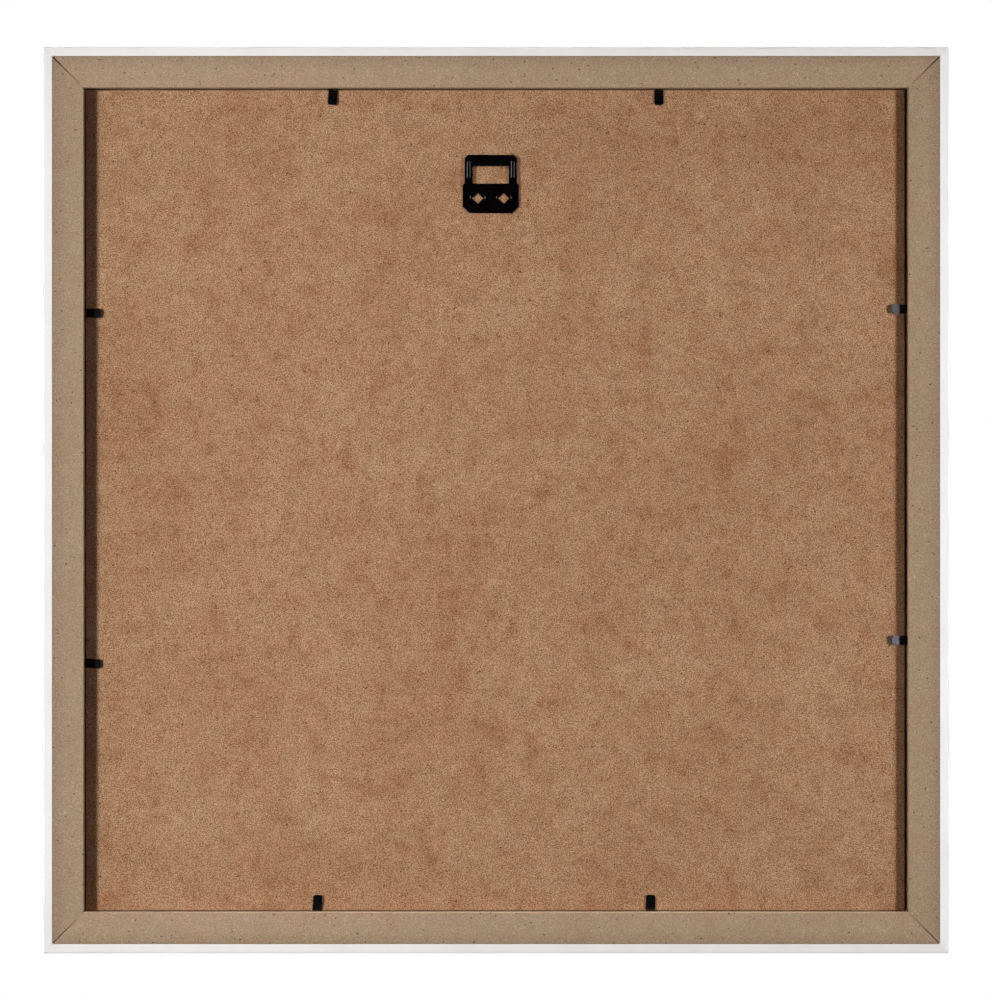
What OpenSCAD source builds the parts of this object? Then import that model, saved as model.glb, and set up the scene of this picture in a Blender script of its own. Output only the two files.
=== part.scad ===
// Square wall picture frame, modelled as it hangs: +Z is up, the back with its hanger
// faces -Y and the glazed front faces +Y. The origin is the centre of the whole frame.
// Millimetres throughout.

/* [Picture] */
// Width of the picture that the rebate takes
picture_w = 500; // [300:1:800]
// Height of the picture that the rebate takes
picture_h = 500; // [300:1:800]
// Gap between the edge of the back board and the rebate wall, on each side
rebate_gap = 1.25; // [0.8:0.05:2]

/* [Moulding] */
// Depth of the moulding, front to back
moulding_depth = 18; // [16:0.5:26]
// Width of the bare back face of a rail
back_face_w = 19.1; // [15:0.1:40]
// Width of the white foil that laps onto the back
lap_w = 5.75; // [2:0.05:10]
// How far the lap falls away from the back face at the outer arris
lap_fall = 0.6; // [0.2:0.1:1.5]
// How far the front lip covers the glazing
lip_w = 6; // [4:0.5:12]
// Thickness of the front lip
lip_t = 5.5; // [4:0.1:8]
// Radius of the outer arris at the back
back_arris_r = 1.2; // [0.8:0.1:2]
// Radius of the outer arris at the front
front_arris_r = 2.5; // [1:0.1:4]
// Radius of the lip's arris round the picture
sight_arris_r = 1.5; // [1:0.1:3]
// Thickness of the foil wrap
foil_t = 0.4; // [0.2:0.05:0.6]

/* [Mitres] */
// Width of the gap that the mitre leaves in the core at its outer end
mitre_gap_w = 0.9; // [0.1:0.1:1.2]
// Distance over which the gap closes towards the opening, measured square to the rail
mitre_gap_len = 24; // [6:1:24]
// Length of each leg of a V nail
v_nail_leg = 6; // [4:0.5:8]
// Thickness of a V nail's steel
v_nail_t = 0.6; // [0.4:0.1:1]
// Height of a V nail, along the depth of the moulding
v_nail_h = 8; // [5:0.5:10]
// Depth of a V nail's top below the back face
v_nail_sink = 1.5; // [0.5:0.1:3]

/* [Rebate filling] */
// Thickness of the glazing
glazing_t = 2; // [1:0.1:3]
// Thickness of the sheet behind the glazing
sheet_t = 0.5; // [0.3:0.1:1.5]
// Thickness of the hardboard back
board_t = 3; // [2.5:0.1:4]
// How much taller than the picture the hardboard is cut
board_extra_h = 1.2; // [0:0.1:1.2]
// How far the board, sheet and glazing lie to the right of the middle of the rebate
filling_shift_x = -0.5; // [-0.5:0.05:0.5]
// How far they lie above the middle of the rebate
filling_shift_z = -0.2; // [-0.4:0.05:0.4]

/* [Tabs] */
// Width of a flexible tab
tab_w = 5.6; // [4:0.1:10]
// Thickness of a tab's steel
tab_t = 0.5; // [0.3:0.05:0.8]
// Reach of a tab from the rebate wall over the board
tab_reach = 10; // [7:0.1:16]
// Depth of a tab's root in the rail
tab_root_depth = 7; // [4:0.1:10]
// Radius of the corners of the tip
tab_corner_r = 1.4; // [0.5:0.1:2]
// Running gap between a tab and the board
tab_board_gap = 0.2; // [0.15:0.05:0.5]
// Distance of a tab's bend line from the rebate wall
tab_bend_out = 1; // [0.9:0.05:1.3]
// Running gap between a tab's bend line and its root
tab_root_gap = 0.15; // [0.1:0.05:0.3]

/* [Hanger] */
// Distance of the hanger to the right of the middle of the frame
hanger_x = -3.2; // [-20:0.1:20]
// Distance of the hanger's top below the top edge of the picture
hanger_drop = 39.2; // [20:0.1:120]
// Thickness of the hanger's steel
hanger_t = 0.7; // [0.6:0.1:1]
// Width of the hanger's foot
foot_w = 34.3; // [33.5:0.1:50]
// Height of the hanger's foot, from its lower edge to its shoulders
foot_h = 17.2; // [16.5:0.1:20]
// Size of the cut corners at the foot
foot_cut = 4.1; // [1:0.1:5]
// Width of the hanger's loop
loop_w = 31.9; // [30:0.1:33]
// Height of the hanger's loop above the shoulders
loop_h = 18.4; // [18:0.1:24]
// Size of the cut corners at the top of the loop
loop_cut = 2.1; // [1:0.1:3]
// How far the loop stands off the board
loop_standoff = 1; // [0.8:0.1:2]
// Height over which the sheet steps out from the foot to the loop
step_h = 2; // [1.5:0.1:3]
// Width of the window that takes the nail
window_w = 22; // [16:0.1:23]
// Height of the window, from its lower edge to the roots of the teeth
window_h = 11.1; // [9:0.1:11.8]
// Radius of the window's lower corners
window_corner_r = 0.7; // [0.5:0.1:1.5]
// Height of the toothed bar above the window
bar_h = 6.5; // [4:0.1:7]
// Number of notches along the bar
notches = 7; // [4:1:12]
// Depth of a notch between two teeth
notch_depth = 0.8; // [0.5:0.1:1.2]
// Length of the bead on each arm of the loop
bead_len = 12; // [8:0.1:14]
// Width of a bead
bead_w = 2.6; // [2:0.1:3]
// Height of a bead
bead_h = 0.5; // [0.3:0.1:0.6]
// Distance between the two punched squares
punch_spacing = 15.9; // [14:0.1:20]
// Side of a punched square
punch_side = 4.8; // [4:0.1:5]
// Height of the punched squares' centres above the foot's lower edge
punch_up = 9.1; // [8.5:0.1:9.5]
// Radius of the dish round a punched square
dish_r = 4.8; // [4.7:0.1:5]
// Width of the sloping rim of a dish
dish_rim = 0.6; // [0.4:0.1:0.8]
// Depth of a dish
dish_h = 0.3; // [0.2:0.1:0.5]

/* [Hidden] */

$fn = 48;

// Colours as the photograph shows them
MDF = "#a48a6e";
FOIL = "#eceaec";
HARDBOARD = "#a17c5a";
BLACK_STEEL = "#101010";
ZINC = "#b8bcc0";
GLASS = [0.8, 0.9, 0.9, 0.35];
PAPER = "#f2f0ec";

// One overrun for every cut
over = 1;
// Segments in a rounded arris
arris_steps = 6;

// Opening of the rebate, and the planes of the moulding and of what it holds
opening_w = picture_w + 2 * rebate_gap;
opening_h = picture_h + 2 * rebate_gap;
back_y = -moulding_depth / 2;
front_y = moulding_depth / 2;
rebate_floor_y = front_y - lip_t;
glazing_y = rebate_floor_y - glazing_t;
sheet_y = glazing_y - sheet_t;
board_y = sheet_y - board_t;
rail_w = back_face_w + lap_w;

// The four sides, as angles clockwise from the top when seen from the back
TOP_ANGLE = 0;
RIGHT_ANGLE = 90;
BOTTOM_ANGLE = 180;
LEFT_ANGLE = 270;
function is_level(angle) = angle == TOP_ANGLE || angle == BOTTOM_ANGLE;

// Half the opening across a side, and half the opening along it
function reach_of(angle) = (is_level(angle) ? opening_h : opening_w) / 2;
function along_of(angle) = (is_level(angle) ? opening_w : opening_h) / 2;

// Unit vector, and the points of a round corner of radius r at p between a and b
function unit(v) = v / norm(v);
function round_corner(a, p, b, r) =
    let (ua = unit(a - p), ub = unit(b - p))
    let (half = acos(ua * ub) / 2)
    let (centre = p + unit(ua + ub) * r / sin(half))
    let (from = p + ua * r / tan(half) - centre, to = p + ub * r / tan(half) - centre)
    let (turn = 180 - 2 * half)
    [for (i = [0 : arris_steps])
        centre + (sin(turn * (1 - i / arris_steps)) * from + sin(turn * i / arris_steps) * to) / sin(turn)];

// Outline of the moulding, drawn as distance out from the rebate wall and depth.
// An inset of the foil's thickness gives the core, which keeps its bare back and rebate.
module moulding_outline(inset) {
    out = rail_w - inset;
    tip = inset - lip_w;
    lap_start = [back_face_w, back_y + inset];
    back_out = [out, back_y + inset + lap_fall];
    front_out = [out, front_y - inset];
    front_in = [tip, front_y - inset];
    lip_in = [tip, rebate_floor_y];
    polygon(concat(
        [[0, back_y], [back_face_w, back_y], lap_start],
        round_corner(lap_start, back_out, front_out, back_arris_r - inset),
        round_corner(back_out, front_out, front_in, front_arris_r - inset),
        round_corner(front_out, front_in, lip_in, sight_arris_r - inset),
        [lip_in, [0, rebate_floor_y]]
    ));
}

// Extrudes a moulding section along one side and cuts both ends at the mitre.
// The gap opens the mitre towards its outer end.
module mitred(angle, gap) {
    reach = reach_of(angle);
    along = along_of(angle);
    inner = -lip_w - over;
    outer = rail_w + over;
    gap_from = rail_w - mitre_gap_len;
    gap_side = gap / sqrt(2) * (outer - gap_from) / mitre_gap_len;
    ends = [[along + inner, inner], [along + gap_from, gap_from], [along + outer - gap_side, outer]];
    rotate([0, angle, 0]) translate([0, 0, reach])
        intersection() {
            rotate([0, -90, 0]) linear_extrude(2 * (along + outer), center = true) children();
            rotate([90, 0, 0]) linear_extrude(moulding_depth + 2 * over, center = true)
                polygon(concat(ends, [for (i = [2 : -1 : 0]) [-ends[i].x, ends[i].y]]));
        }
}

// The MDF core of a rail, with its slots for the tab roots and its share of the V nails
module rail(angle) {
    color(MDF) difference() {
        mitred(angle, mitre_gap_w) moulding_outline(foil_t);
        tab_roots_solid();
        v_nails_solid();
    }
}

// The foil round a rail: outer side, face and lip, lapped onto the back
module wrap(angle) {
    color(FOIL) mitred(angle, 0) difference() {
        moulding_outline(0);
        moulding_outline(foil_t);
    }
}

module rail_top() { rail(TOP_ANGLE); }
module rail_right() { rail(RIGHT_ANGLE); }
module rail_bottom() { rail(BOTTOM_ANGLE); }
module rail_left() { rail(LEFT_ANGLE); }
module wrap_top() { wrap(TOP_ANGLE); }
module wrap_right() { wrap(RIGHT_ANGLE); }
module wrap_bottom() { wrap(BOTTOM_ANGLE); }
module wrap_left() { wrap(LEFT_ANGLE); }

// A flat panel as wide as the picture and of height h, with its back at depth y
module panel(y, t, h) {
    translate([filling_shift_x - picture_w / 2, y, filling_shift_z - h / 2])
        cube([picture_w, t, h]);
}

module glazing() { color(GLASS) panel(glazing_y, glazing_t, picture_h); }
module insert_sheet() { color(PAPER) panel(sheet_y, sheet_t, picture_h); }

// The hardboard back, pierced where the hanger's prongs bite
module backing_board() {
    color(HARDBOARD) difference() {
        panel(board_y, board_t, picture_h + board_extra_h);
        at_hanger() prongs();
    }
}

// Flexible tabs. A row gives a tab's side, its place along that side as a share of half
// the picture, counted clockwise from the middle, the angle at which it went into the wall,
// and the angle at which it lies off the board.
TAB_PLACE_SHARES = [
    [TOP_ANGLE, -0.398, 3.5, 3],
    [TOP_ANGLE, 0.398, 0, 3],
    [RIGHT_ANGLE, -0.466, 0, 13],
    [RIGHT_ANGLE, 0.343, 0, 14],
    [BOTTOM_ANGLE, 0.437, 3, 4],
    [BOTTOM_ANGLE, -0.378, 0, 4],
    [LEFT_ANGLE, 0.457, 2, 5],
    [LEFT_ANGLE, -0.399, 3, 4]];
tab_y = board_y - tab_board_gap - tab_t / 2;

// Puts what is drawn at a tab's bend line, reaching inwards along -Z, in its place
module at_tab(row) {
    half = (is_level(row[0]) ? picture_w : picture_h) / 2;
    rotate([0, row[0], 0])
        translate([row[1] * half, tab_y, reach_of(row[0]) - tab_bend_out]) rotate([0, row[2], 0])
            children();
}

// The free part of a tab: a strip from its rounded bend line to its rounded tip
module tab(row) {
    tip = tab_reach - tab_bend_out;
    straight = tip - tab_corner_r;
    color(BLACK_STEEL) at_tab(row) rotate([-row[3], 0, 0]) {
        rotate([0, 90, 0]) cylinder(d = tab_t, h = tab_w, center = true);
        rotate([90, 0, 0]) linear_extrude(tab_t, center = true) {
            translate([-tab_w / 2, -straight]) square([tab_w, straight]);
            translate([tab_corner_r - tab_w / 2, -tip]) square([tab_w - 2 * tab_corner_r, tip]);
            for (x = [-1, 1])
                translate([x * (tab_w / 2 - tab_corner_r), -straight]) circle(r = tab_corner_r);
        }
    }
}

// The pointed half of every tab, shot into the rebate wall
module tab_roots_solid() {
    near = tab_t / 2 + tab_root_gap;
    far = tab_bend_out + tab_root_depth;
    shoulder = far - tab_w / 2;
    for (row = TAB_PLACE_SHARES)
        at_tab(row) rotate([90, 0, 0]) linear_extrude(tab_t, center = true)
            polygon([[-tab_w / 2, near], [tab_w / 2, near], [tab_w / 2, shoulder],
                [0, far], [-tab_w / 2, shoulder]]);
}

module tab_top_left() { tab(TAB_PLACE_SHARES[0]); }
module tab_top_right() { tab(TAB_PLACE_SHARES[1]); }
module tab_right_upper() { tab(TAB_PLACE_SHARES[2]); }
module tab_right_lower() { tab(TAB_PLACE_SHARES[3]); }
module tab_bottom_left() { tab(TAB_PLACE_SHARES[4]); }
module tab_bottom_right() { tab(TAB_PLACE_SHARES[5]); }
module tab_left_upper() { tab(TAB_PLACE_SHARES[6]); }
module tab_left_lower() { tab(TAB_PLACE_SHARES[7]); }
module tab_roots() { color(BLACK_STEEL) tab_roots_solid(); }

// Four V nails, one across each mitre, with their legs along the two rails
module v_nails_solid() {
    place = back_face_w / 2 + v_nail_leg / 2;
    for (angle = [TOP_ANGLE, RIGHT_ANGLE, BOTTOM_ANGLE, LEFT_ANGLE])
        rotate([0, angle, 0])
            translate([along_of(angle) + place, back_y + v_nail_sink + v_nail_h, reach_of(angle) + place])
                rotate([90, 0, 0]) linear_extrude(v_nail_h) {
                    translate([-v_nail_leg, -v_nail_t]) square([v_nail_leg, v_nail_t]);
                    translate([-v_nail_t, -v_nail_leg]) square([v_nail_t, v_nail_leg]);
                }
}

module v_nails() { color(ZINC) v_nails_solid(); }

// The stamped hanger, drawn with its foot's lower edge at z = 0 and the board's face at
// y = 0, and standing off towards -Y. The foot rests on its two dishes.
hanger_h = foot_h + loop_h;
shoulder_cut = (foot_w - loop_w) / 2;
window_low = hanger_h - bar_h - window_h;
window_top = window_low + window_h - notch_depth;
loop_face = loop_standoff + hanger_t;
foot_face = dish_h + hanger_t;
// Flat part of a notch's root, as a share of the pitch
notch_root_share = 0.5;

module at_hanger() {
    translate([hanger_x, board_y, picture_h / 2 - hanger_drop - hanger_h]) children();
}

module at_punches() {
    for (x = [-1, 1]) translate([x * punch_spacing / 2, 0, punch_up]) children();
}

// Front outline of the hanger: foot with cut corners, shoulders and a narrower loop
module hanger_outline() {
    half = [
        [foot_w / 2 - foot_cut, 0], [foot_w / 2, foot_cut],
        [foot_w / 2, foot_h], [loop_w / 2, foot_h + shoulder_cut],
        [loop_w / 2, hanger_h - loop_cut], [loop_w / 2 - loop_cut, hanger_h]];
    polygon(concat(half, [for (i = [len(half) - 1 : -1 : 0]) [-half[i].x, half[i].y]]));
}

// Side section of the sheet: the foot, the step and the loop that stands further out
module hanger_section() {
    step_low = foot_h - step_h;
    polygon([
        [-dish_h, 0], [-dish_h, step_low], [-loop_standoff, foot_h], [-loop_standoff, hanger_h],
        [-loop_face, hanger_h], [-loop_face, foot_h], [-foot_face, step_low], [-foot_face, 0]]);
}

// The window: round lower corners, and notches that leave teeth along the bar
module window_outline() {
    pitch = window_w / notches;
    flat = pitch * notch_root_share;
    slope = (pitch - flat) / 2;
    low = window_low + window_corner_r;
    translate([-window_w / 2, low]) square([window_w, window_top - low]);
    translate([window_corner_r - window_w / 2, window_low])
        square([window_w - 2 * window_corner_r, window_top - window_low]);
    for (x = [-1, 1])
        translate([x * (window_w / 2 - window_corner_r), low]) circle(r = window_corner_r);
    for (i = [0 : notches - 1])
        translate([i * pitch - window_w / 2, window_top])
            polygon([[0, -notch_depth], [0, 0], [slope, notch_depth], [slope + flat, notch_depth],
                [pitch, 0], [pitch, -notch_depth]]);
}

// A pair of round-backed beads whose crests stand bead_h proud of the arms
module beads(inset) {
    crest_r = (bead_w * bead_w / 4 + bead_h * bead_h) / (2 * bead_h);
    straight = bead_len - bead_w;
    for (x = [-1, 1])
        translate([x * (window_w + loop_w) / 4, crest_r - bead_h - loop_face, (window_low + hanger_h) / 2]) {
            cylinder(r = crest_r - inset, h = straight, center = true);
            for (z = [-1, 1]) translate([0, 0, z * straight / 2]) sphere(r = crest_r - inset);
        }
}

// A frustum of a dish, whose narrow end lies at depth y from the board
module dish(y) {
    at_punches() translate([0, -y, 0]) rotate([90, 0, 0])
        cylinder(h = dish_h, r1 = dish_r - dish_rim, r2 = dish_r);
}

// Four triangular prongs, bent back from each punched square into the board
module prongs() {
    at_punches() for (turn = [0 : 3])
        rotate([0, 45 + 90 * turn, 0]) translate([0, 0, punch_side / 2]) linear_extrude(hanger_t)
            polygon([[-punch_side / 2, -hanger_t / 2], [punch_side / 2, -hanger_t / 2],
                [punch_side / 2, 0], [0, punch_side / 2], [-punch_side / 2, 0]]);
}

module hanger_plate() {
    color(BLACK_STEEL) at_hanger() difference() {
        union() {
            intersection() {
                rotate([90, 0, 0]) linear_extrude(loop_face + over) hanger_outline();
                rotate([90, 0, 90]) linear_extrude(foot_w, center = true) hanger_section();
            }
            dish(0);
            prongs();
            intersection() {
                beads(0);
                translate([-loop_w / 2, -loop_face - bead_h - over, 0])
                    cube([loop_w, bead_h + over + hanger_t / 2, hanger_h]);
            }
        }
        rotate([90, 0, 0]) linear_extrude(loop_face + over) window_outline();
        beads(hanger_t);
        dish(hanger_t);
        at_punches() rotate([90, 45, 0]) linear_extrude(foot_face + over)
            square(punch_side, center = true);
    }
}

rail_top();
rail_right();
rail_bottom();
rail_left();
wrap_top();
wrap_right();
wrap_bottom();
wrap_left();
glazing();
insert_sheet();
backing_board();
hanger_plate();
tab_top_left();
tab_top_right();
tab_right_upper();
tab_right_lower();
tab_bottom_left();
tab_bottom_right();
tab_left_upper();
tab_left_lower();
tab_roots();
v_nails();
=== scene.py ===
"""Looks of the square picture frame, seen from behind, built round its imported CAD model.

Metres, in the model's own frame: +Z is up as the frame hangs, the back faces -Y, the glazed front faces +Y.
"""

import math

import bpy
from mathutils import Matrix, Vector

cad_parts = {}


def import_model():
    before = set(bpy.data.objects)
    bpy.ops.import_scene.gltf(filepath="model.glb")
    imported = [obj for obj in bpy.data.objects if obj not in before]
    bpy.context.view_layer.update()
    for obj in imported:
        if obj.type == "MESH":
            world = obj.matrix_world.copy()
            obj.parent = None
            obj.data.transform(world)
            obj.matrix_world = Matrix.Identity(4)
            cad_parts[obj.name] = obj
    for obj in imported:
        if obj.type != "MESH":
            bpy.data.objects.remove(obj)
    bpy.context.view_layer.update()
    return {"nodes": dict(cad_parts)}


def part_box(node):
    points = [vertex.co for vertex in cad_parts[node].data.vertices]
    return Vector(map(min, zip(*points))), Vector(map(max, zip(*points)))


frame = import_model()
nodes = frame["nodes"]

MM = 0.001
FRAME_SIDE = 552.2 * MM
FOIL_LAP = 5.75 * MM
WHITE = (1.0, 1.0, 1.0)
BLACK = (0.0, 0.0, 0.0)
GLASS = (0.965, 0.985, 0.975)
WARM_FILL = (1.0, 0.35, 0.06)
FILL_LEVEL = 0.04
DARK_ROOM_LEVEL = 0.02

# Planes of the model, read from its nodes
back_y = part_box("rail_top")[0].y
lowest_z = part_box("wrap_bottom")[0].z
board_back_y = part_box("backing_board")[0].y
core_half = -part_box("wrap_left")[0].x - FOIL_LAP
glazing_half = (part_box("glazing")[1].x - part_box("glazing")[0].x) / 2


def srgb(text):
    """Linear colour of a hex code."""
    parts = [int(text[i : i + 2], 16) / 255 for i in (1, 3, 5)]
    return [p / 12.92 if p <= 0.04045 else ((p + 0.055) / 1.055) ** 2.4 for p in parts]


class Graph:
    """Short calls for the node tree of a material or a world, whose shader node feeds its output."""

    def __init__(self, owner, shader="Principled BSDF"):
        owner.use_nodes = True
        self.owner = owner
        self.tree = owner.node_tree
        self.shader = self.tree.nodes[shader]
        self.place = self.add("ShaderNodeTexCoord").outputs["Object"]

    def add(self, kind, inputs=None, **settings):
        """A new node, with values or links on its inputs and its settings set."""
        node = self.tree.nodes.new(kind)
        for key, value in settings.items():
            setattr(node, key, value)
        for key, value in (inputs or {}).items():
            self.feed(node.inputs[key], value)
        return node

    def feed(self, socket, value):
        """Links value to the socket, or sets it there; a colour may leave out its alpha."""
        if isinstance(value, bpy.types.NodeSocket):
            self.tree.links.new(value, socket)
        elif hasattr(socket.default_value, "__len__") and len(socket.default_value) == 4 and len(value) == 3:
            socket.default_value = (*value, 1)
        else:
            socket.default_value = value

    def math(self, operation, a, b=0.0, clamp=False):
        """One step of arithmetic on a, and on b where the operation takes two."""
        return self.add("ShaderNodeMath", {0: a, 1: b}, operation=operation, use_clamp=clamp).outputs[0]

    def noise(self, scale, detail, roughness, place=None):
        """Value of a noise whose features are about 1 / scale metres across."""
        return self.add(
            "ShaderNodeTexNoise",
            {"Vector": place or self.place, "Scale": scale, "Detail": detail, "Roughness": roughness},
        ).outputs["Fac"]

    def ramp(self, value, low, high, to_low=0.0, to_high=1.0):
        """value from low to high, mapped on to_low to to_high and held there."""
        return self.add(
            "ShaderNodeMapRange", {0: value, 1: low, 2: high, 3: to_low, 4: to_high}, clamp=True
        ).outputs[0]

    def mix(self, share, a, b, blend="MIX"):
        """Colour a, turned into b by share."""
        return self.add(
            "ShaderNodeMix", {0: share, 6: a, 7: b}, data_type="RGBA", blend_type=blend, clamp_factor=True
        ).outputs[2]

    def shifted(self, total, value, middle, amount):
        """total, moved by how far value is from its middle, times amount."""
        return self.math("ADD", total, self.math("MULTIPLY", self.math("SUBTRACT", value, middle), amount))

    def sides(self):
        """How far a point is out to the side and up or down from the frame's middle."""
        parts = self.add("ShaderNodeSeparateXYZ", {0: self.place})
        return self.math("ABSOLUTE", parts.outputs["X"]), self.math("ABSOLUTE", parts.outputs["Z"])

    def stretched(self, turn, along, across, place):
        """Coordinates turned in the plane of the back and scaled, for strokes in one direction."""
        turned = self.add(
            "ShaderNodeMapping", {"Vector": place, "Rotation": (0, math.radians(turn), 0)}
        ).outputs[0]
        return self.add(
            "ShaderNodeMapping", {"Vector": turned, "Scale": (along, across, across)}
        ).outputs[0]

    def warped(self, scale, amount):
        """Coordinates pushed about by a noise, by up to amount metres."""
        push = self.add(
            "ShaderNodeTexNoise", {"Vector": self.place, "Scale": scale, "Detail": 1.0}
        ).outputs["Color"]
        centred = self.add(
            "ShaderNodeVectorMath", {0: push, 1: (0.5, 0.5, 0.5)}, operation="SUBTRACT"
        ).outputs[0]
        moved = self.add(
            "ShaderNodeVectorMath", {0: centred, "Scale": 2 * amount}, operation="SCALE"
        ).outputs[0]
        return self.add(
            "ShaderNodeVectorMath", {0: self.place, 1: moved}, operation="ADD"
        ).outputs[0]

    def cells(self, scale, place):
        """How far each point is from the middle of its cell, 1 / scale metres wide, and the cell's number."""
        grid = self.add("ShaderNodeTexVoronoi", {"Vector": place, "Scale": scale}, feature="F1")
        own = self.add("ShaderNodeSeparateColor", {0: grid.outputs["Color"]}).outputs[0]
        return grid.outputs["Distance"], own

    def specks(self, pitch, size, share, place):
        """1 in a few scattered grains: cells pitch apart, a share of which hold a grain of that size."""
        distance, own = self.cells(1 / pitch, place)
        near = self.ramp(distance, size / pitch * 0.6, size / pitch, 1.0, 0.0)
        return self.math("MULTIPLY", near, self.math("LESS_THAN", own, share))

    def bump(self, height, distance, strength):
        """Normals of a relief distance metres deep."""
        return self.add(
            "ShaderNodeBump", {"Height": height, "Distance": distance, "Strength": strength}
        ).outputs[0]

    def finish(self, **sockets):
        """Sets the shader's sockets, with _ for each space in a name, and returns the material or world."""
        for key, value in sockets.items():
            self.feed(self.shader.inputs[key.replace("_", " ")], value)
        return self.owner


def material_graph(name):
    """The node tree of a new material."""
    return Graph(bpy.data.materials.new(name))


def fibreboard(name, light, dark, strokes, contrast, tint, clouds, bark_share, pale_share):
    """Pressed wood fibre: fine grains, short curled strokes, faint tints, clouds and scattered bark.

    contrast says how strongly the grains, the strokes, the furrows between strokes and the mottle show.
    """
    g = material_graph(name)
    # Grains with dark hearts, some more so than others
    distance, own = g.cells(1700, g.warped(1500, 0.2 * MM))
    hearts = g.ramp(distance, 0.1, 0.7, -0.6, 0.4)
    weight = g.ramp(own, 0, 1, 0.35 * contrast["grains"], 1.65 * contrast["grains"])
    tone = g.math("MULTIPLY", hearts, weight)
    # Strokes of fibre in three directions
    curled = g.warped(520, 0.5 * MM)
    lines = [
        g.noise(1.0, 1.0, 0.5, g.stretched(turn, strokes * 0.4, strokes, curled)) for turn in (12, 74, 133)
    ]
    total = g.math("ADD", g.math("ADD", lines[0], lines[1]), lines[2])
    lowest = g.math("MINIMUM", g.math("MINIMUM", lines[0], lines[1]), lines[2])
    tone = g.shifted(tone, total, 1.5, contrast["strokes"])
    tone = g.shifted(tone, lowest, 0.41, contrast["furrows"])
    tone = g.shifted(tone, g.noise(170, 3.0, 0.6), 0.5, contrast["mottle"])
    tone = g.math("ADD", tone, 0.5, clamp=True)
    colour = g.mix(tone, dark, light)
    # Warm and cool patches, and darker clouds up to a hand wide
    patches = g.ramp(g.noise(75, 4.0, 0.6), 0.32, 0.68)
    warm = (1 + 0.3 * tint, 1 - tint, 1 - 1.4 * tint)
    cool = (1 - 0.3 * tint, 1 + tint, 1 + 1.4 * tint)
    colour = g.mix(1.0, colour, g.mix(patches, warm, cool), "MULTIPLY")
    murk = g.math("MULTIPLY", g.ramp(g.noise(60, 3.5, 0.62), 0.5, 0.7), clouds)
    broad = g.math("MULTIPLY", g.ramp(g.noise(12, 3.0, 0.75), 0.3, 0.7), 1.2 * clouds)
    murk = g.math("ADD", murk, broad, clamp=True)
    colour = g.mix(murk, colour, g.mix(1.0, colour, (0.75, 0.61, 0.52), "MULTIPLY"))
    # Bark, dark splinters and pale ones
    ragged = g.warped(1300, 0.5 * MM)
    bark = g.specks(2.1 * MM, 0.48 * MM, bark_share, g.stretched(18, 0.7, 1.0, ragged))
    splinters = g.specks(3.3 * MM, 0.4 * MM, bark_share * 1.3, g.stretched(62, 0.5, 1.0, ragged))
    colour = g.mix(g.math("MULTIPLY", g.math("MAXIMUM", bark, splinters), 0.85), colour, srgb("#38200f"))
    pale = g.specks(2.9 * MM, 0.5 * MM, pale_share, g.stretched(118, 0.45, 1.0, ragged))
    colour = g.mix(g.math("MULTIPLY", pale, 0.5), colour, srgb("#dfc4a0"))
    return g, tone, colour


def rail_core():
    """Fibreboard of the mouldings, a little darker towards the foil, with a painted shadow along the foil's
    edge.
    """
    g, tone, colour = fibreboard(
        "mdf_core",
        light=srgb("#c4ab91"),
        dark=srgb("#80694f"),
        strokes=1900,
        contrast={"grains": 0.75, "strokes": 0.06, "furrows": 0.04, "mottle": 0.18},
        tint=0.022,
        clouds=0.14,
        bark_share=0.1,
        pale_share=0.09,
    )
    x, z = g.sides()
    out = g.math("MAXIMUM", x, z)
    # The core gets a little darker over its last 8.5 mm towards the foil
    foil_side_darkening = g.ramp(out, core_half - 8.5 * MM, core_half - 0.6 * MM, 1.0, 0.86)
    # Painted shadow: the last 0.75 mm of the core, where the foil's edge meets it, is darkened for that
    # edge's shadow
    painted_foil_edge_shadow = g.ramp(out, core_half - 0.75 * MM, core_half - 0.35 * MM, 1.0, 0.7)
    mitre = g.ramp(g.math("ABSOLUTE", g.math("SUBTRACT", x, z)), 0.15 * MM, 0.4 * MM, 0.75, 1.0)
    # The boards of the top and bottom rails are a little paler than those of the side rails
    board = g.ramp(g.math("GREATER_THAN", x, z), 0, 1, 1.06, 0.98)
    level = g.math("MULTIPLY", g.math("MULTIPLY", g.math("MULTIPLY", foil_side_darkening, painted_foil_edge_shadow), mitre), board)
    shade = g.add("ShaderNodeCombineXYZ", {i: level for i in range(3)}).outputs[0]
    return g.finish(
        Base_Color=g.mix(1.0, colour, shade, "MULTIPLY"),
        Roughness=0.9,
        Specular_IOR_Level=0.2,
        Normal=g.bump(tone, 0.04 * MM, 0.6),
    )


def hardboard_back():
    """Brown hardboard, with its smooth side out."""
    g, tone, colour = fibreboard(
        "hardboard_back",
        light=srgb("#c9a483"),
        dark=srgb("#724305"),
        strokes=1500,
        contrast={"grains": 1.72, "strokes": 0.19, "furrows": 0.12, "mottle": 0.64},
        tint=0.035,
        clouds=0.5,
        bark_share=0.12,
        pale_share=0.03,
    )
    return g.finish(
        Base_Color=colour,
        Roughness=0.85,
        Specular_IOR_Level=0.25,
        Normal=g.bump(tone, 0.06 * MM, 0.6),
    )


def foil_material():
    """Satin white foil, with a faint orange peel."""
    g = material_graph("white_foil")
    peel = g.noise(900, 2.0, 0.5)
    smear = g.noise(30, 3.0, 0.6)
    colour = g.mix(g.ramp(smear, 0.35, 0.7), srgb("#efefef"), srgb("#eaeae9"))
    return g.finish(
        Base_Color=colour,
        Roughness=g.ramp(smear, 0.3, 0.7, 0.44, 0.54),
        Specular_IOR_Level=0.4,
        Normal=g.bump(peel, 0.02 * MM, 0.35),
    )


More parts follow.
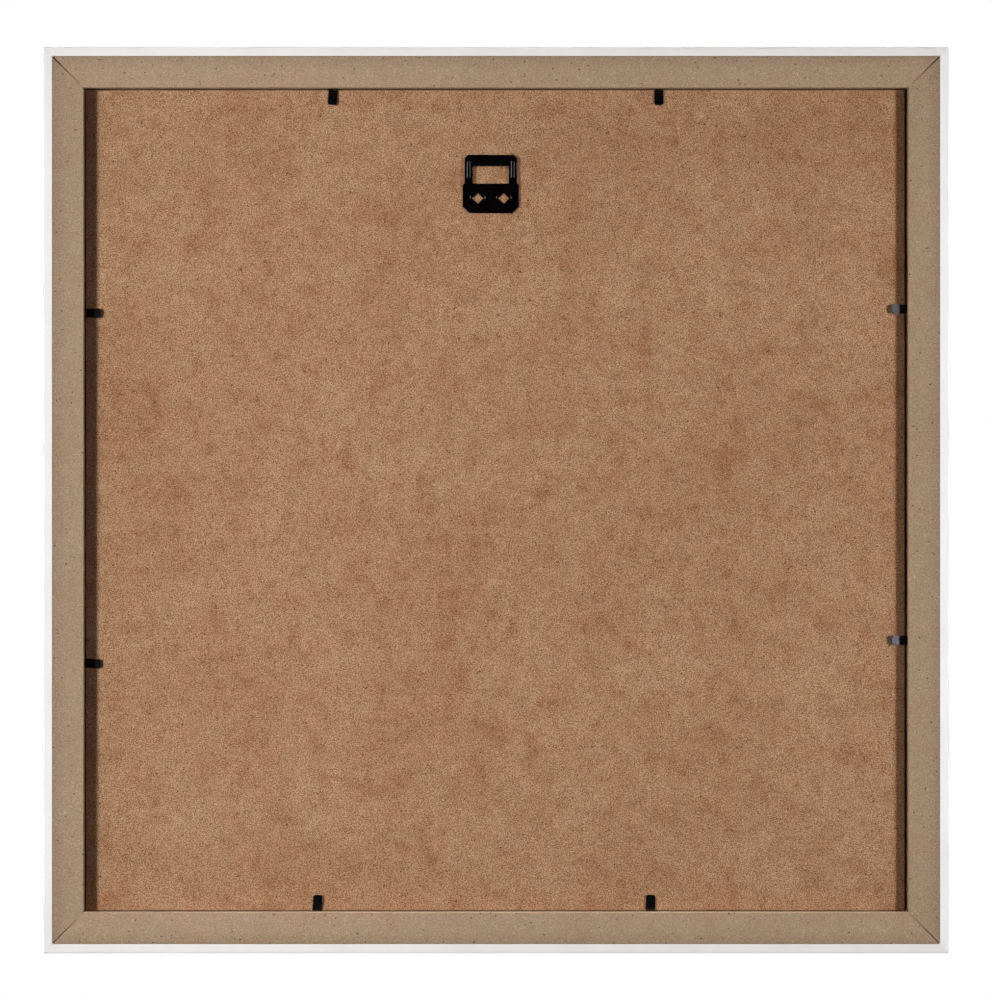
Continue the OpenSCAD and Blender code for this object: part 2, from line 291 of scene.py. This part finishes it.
def lacquered_steel(name, smooth, rough, shine):
    """Black lacquer on pressed steel, with a cold sheen."""
    g = material_graph(name)
    peel = g.noise(1500, 2.0, 0.5)
    worn = g.noise(220, 4.0, 0.6)
    colour = g.mix(g.ramp(worn, 0.35, 0.7), srgb("#020203"), srgb("#070708"))
    return g.finish(
        Base_Color=colour,
        Roughness=g.ramp(worn, 0.3, 0.7, smooth, rough),
        Specular_IOR_Level=shine,
        Specular_Tint=(0.82, 0.86, 1.0),
        Normal=g.bump(peel, 0.008 * MM, 0.3),
    )


def zinc_steel():
    """Bright zinc on the hidden nails."""
    g = material_graph("zinc_steel")
    spangle = g.noise(700, 3.0, 0.6)
    return g.finish(
        Base_Color=g.mix(g.ramp(spangle, 0.3, 0.7), srgb("#a9adb2"), srgb("#c3c6c9")),
        Metallic=1.0,
        Roughness=g.ramp(spangle, 0.3, 0.7, 0.3, 0.5),
    )


def paper_material():
    """Plain uncoated paper."""
    g = material_graph("plain_paper")
    pulp = g.noise(1100, 3.0, 0.7)
    return g.finish(
        Base_Color=g.mix(g.ramp(pulp, 0.3, 0.7), srgb("#efeee9"), srgb("#f6f5f1")),
        Roughness=0.9,
        Normal=g.bump(pulp, 0.02 * MM, 0.4),
    )


def glazing_material():
    """Clear float glass, which lets the lamps through to the sheet behind it."""
    g = material_graph("clear_glazing")
    ripple = g.noise(14, 1.0, 0.4)
    # The last 3 mm, under the lip, are made nearly black and stop the lamps' shadow rays too, so no light
    # from the front gets out at the edge and the gap round the board stays in shade
    rim = g.ramp(g.math("MAXIMUM", *g.sides()), glazing_half - 3.5 * MM, glazing_half - 3 * MM)
    g.finish(
        Base_Color=g.mix(rim, GLASS, (0.01, 0.015, 0.012)),
        Transmission_Weight=1.0,
        Roughness=0.0,
        IOR=1.5,
        Normal=g.bump(ripple, 0.02 * MM, 0.2),
    )
    clear = g.add("ShaderNodeBsdfTransparent", {"Color": g.mix(rim, (0.94, 0.965, 0.955), BLACK)})
    shadow = g.add("ShaderNodeLightPath").outputs["Is Shadow Ray"]
    both = g.add("ShaderNodeMixShader", {0: shadow, 1: g.shader.outputs[0], 2: clear.outputs[0]})
    g.tree.links.new(both.outputs[0], g.tree.nodes["Material Output"].inputs["Surface"])
    return g.owner


MATERIALS = {
    "rail_": rail_core(),
    "wrap_": foil_material(),
    "backing_board": hardboard_back(),
    "hanger_plate": lacquered_steel("black_lacquer", smooth=0.08, rough=0.12, shine=0.15),
    "tab_": lacquered_steel("black_tab_lacquer", smooth=0.25, rough=0.3, shine=0.3),
    "glazing": glazing_material(),
    "insert_sheet": paper_material(),
    "v_nails": zinc_steel(),
}


def dress(node, material, edge):
    """Gives a CAD node its material and, unless edge is 0, softens its sharp edges by that radius."""
    o = nodes[node]
    for slot in o.material_slots:
        slot.material = material
    if edge:
        weld = o.modifiers.new("weld", "WELD")
        weld.merge_threshold = 0.002 * MM
        bevel = o.modifiers.new("soft_edges", "BEVEL")
        bevel.width = edge
        bevel.segments = 2
        bevel.limit_method = "ANGLE"
        bevel.angle_limit = math.radians(35)
        bevel.use_clamp_overlap = True
        normals = o.modifiers.new("even_normals", "WEIGHTED_NORMAL")
        normals.keep_sharp = False


EDGES = {"rail_": 0.08 * MM, "hanger_plate": 0.1 * MM, "tab_": 0.1 * MM}
for name in nodes:
    for start, material in MATERIALS.items():
        if name.startswith(start):
            dress(name, material, 0.0 if name == "tab_roots" else EDGES.get(start, 0.0))


# The camera stands square behind the middle of the frame, near where the photograph's stood
VIEW_DISTANCE = 1.8
SENSOR = 36
PICTURE_PIXELS = 1000
FRAME_PIXELS = 907
camera = bpy.data.cameras.new("camera")
camera.sensor_width = SENSOR
camera.lens = SENSOR * VIEW_DISTANCE / (PICTURE_PIXELS * FRAME_SIDE / FRAME_PIXELS)
camera_object = bpy.data.objects.new("camera", camera)
camera_object.location = (0, back_y - VIEW_DISTANCE, 0)
camera_object.rotation_euler = (math.radians(90), 0, 0)
bpy.context.scene.collection.objects.link(camera_object)
bpy.context.scene.camera = camera_object


def lamp(name, place, aim, size, power, spread=180.0, lit=None):
    """A rectangular soft lamp at place, facing aim. With lit, it lights nothing but the nodes named there."""
    light = bpy.data.lights.new(name, "AREA")
    light.shape = "RECTANGLE"
    light.size, light.size_y = size
    light.energy = power
    light.spread = math.radians(spread)
    o = bpy.data.objects.new(name, light)
    o.location = place
    o.rotation_euler = (Vector(aim) - Vector(place)).to_track_quat("-Z", "Y").to_euler()
    bpy.context.scene.collection.objects.link(o)
    if lit:
        receivers = bpy.data.collections.new("lit_by_" + name)
        for node in lit:
            receivers.objects.link(nodes[node])
        o.light_linking.receiver_collection = receivers
    return o


STRIP_LENGTH = 0.86


def strip(name, side, out, back, lean, width, power, spread):
    """An upright strip lamp to one side and behind the board, leaning from square to it by lean degrees."""
    place = Vector((side * out, board_back_y - back, 0))
    aim = (side * (out - back * math.tan(math.radians(lean))), board_back_y, 0)
    lamp(name, place, aim, (width, STRIP_LENGTH), power, spread)


# Two strip lamps behind the frame, left and right, throw the side rails' shadows on the board
strip("strip_left", side=-1, out=1.27, back=0.92, lean=50, width=0.26, power=1.22, spread=23)
strip("strip_right", side=1, out=1.34, back=1.05, lean=45.5, width=0.3, power=1.07, spread=25)
# Three thin lamps, for the rails' cores alone, look in just over the rails at the rebate's far walls
THIN = 14 * MM
just_over = back_y - 8 * MM
beyond = (0, back_y + 3 * MM, 0)
rails = [name for name in nodes if name.startswith("rail_")]
lamp("edge_left", (-1.3, just_over, 0), beyond, (THIN, 0.5), power=0.2, spread=40, lit=rails)
lamp("edge_top", (0, just_over - 2 * MM, 1.3), beyond, (0.6, THIN), power=1.9, spread=40, lit=rails)
lamp("edge_bottom", (0, just_over, -0.6), beyond, (0.9, THIN), power=0.4, spread=60, lit=rails)
# A soft lamp behind the camera brings three of the foil's laps up to the left one
middle = (0, 0, 0)
dim_laps = ["wrap_top", "wrap_bottom", "wrap_right"]
laps = lamp("laps", (0, back_y - 2.4, 0.5), middle, (1.2, 1.2), power=6.5, lit=dim_laps)
laps.visible_camera = False
# Soft lamps for the front, the top and the floor, which don't reach the back
lamp("front_left", (-0.5, 2.2, 1.1), middle, (0.9, 0.6), power=30)
lamp("front_right", (1.3, 1.1, 0.4), middle, (0.9, 0.9), power=13)
lamp("top", (0, 0.75, 1.5), middle, (1.0, 1.0), power=12)


def world():
    """White for the camera and for reflections from the front's side; a faint warm fill for the rest."""
    g = Graph(bpy.data.worlds.new("studio"), "Background")
    path = g.add("ShaderNodeLightPath")
    seen = g.math("MAXIMUM", path.outputs["Is Camera Ray"], path.outputs["Is Transmission Ray"])
    # Reflections see a dark room on the back's side
    parts = g.add("ShaderNodeSeparateXYZ", {0: g.add("ShaderNodeTexCoord").outputs["Generated"]})
    side = g.ramp(parts.outputs["Y"], -0.2, 0.1, DARK_ROOM_LEVEL, 1.0)
    white = g.math("MAXIMUM", seen, g.math("MULTIPLY", path.outputs["Is Glossy Ray"], side))
    bpy.context.scene.world = g.finish(
        Strength=g.ramp(white, 0, 1, FILL_LEVEL, 1.0),
        Color=g.mix(white, WARM_FILL, WHITE),
    )


world()


def floor():
    """A pale floor under the frame, which stays white to the camera but for the frame's shadow."""
    half, drop = 1.8, 0.35
    corners = [(-half, -half, 0), (half, -half, 0), (half, half, 0), (-half, half, 0)]
    mesh = bpy.data.meshes.new("floor")
    mesh.from_pydata(corners, [], [(0, 1, 2, 3)])
    o = bpy.data.objects.new("floor", mesh)
    o.location.z = lowest_z - drop
    bpy.context.scene.collection.objects.link(o)
    g = material_graph("pale_floor")
    g.finish(Base_Color=(0.3, 0.3, 0.3), Roughness=0.8)
    from_middle = g.add("ShaderNodeVectorMath", {0: g.place}, operation="LENGTH").outputs["Value"]
    far = g.ramp(from_middle, 0.6, 1.5, 0.8, 1.0)
    path = g.add("ShaderNodeLightPath")
    seen = g.math("MAXIMUM", path.outputs["Is Camera Ray"], path.outputs["Is Transmission Ray"])
    glow = g.add("ShaderNodeEmission", {"Color": WHITE, "Strength": g.math("MULTIPLY", far, seen)})
    both = g.add("ShaderNodeAddShader", {0: g.shader.outputs[0], 1: glow.outputs[0]})
    g.tree.links.new(both.outputs[0], g.tree.nodes["Material Output"].inputs["Surface"])
    mesh.materials.append(g.owner)


floor()

bpy.context.scene.view_settings.view_transform = "Standard"
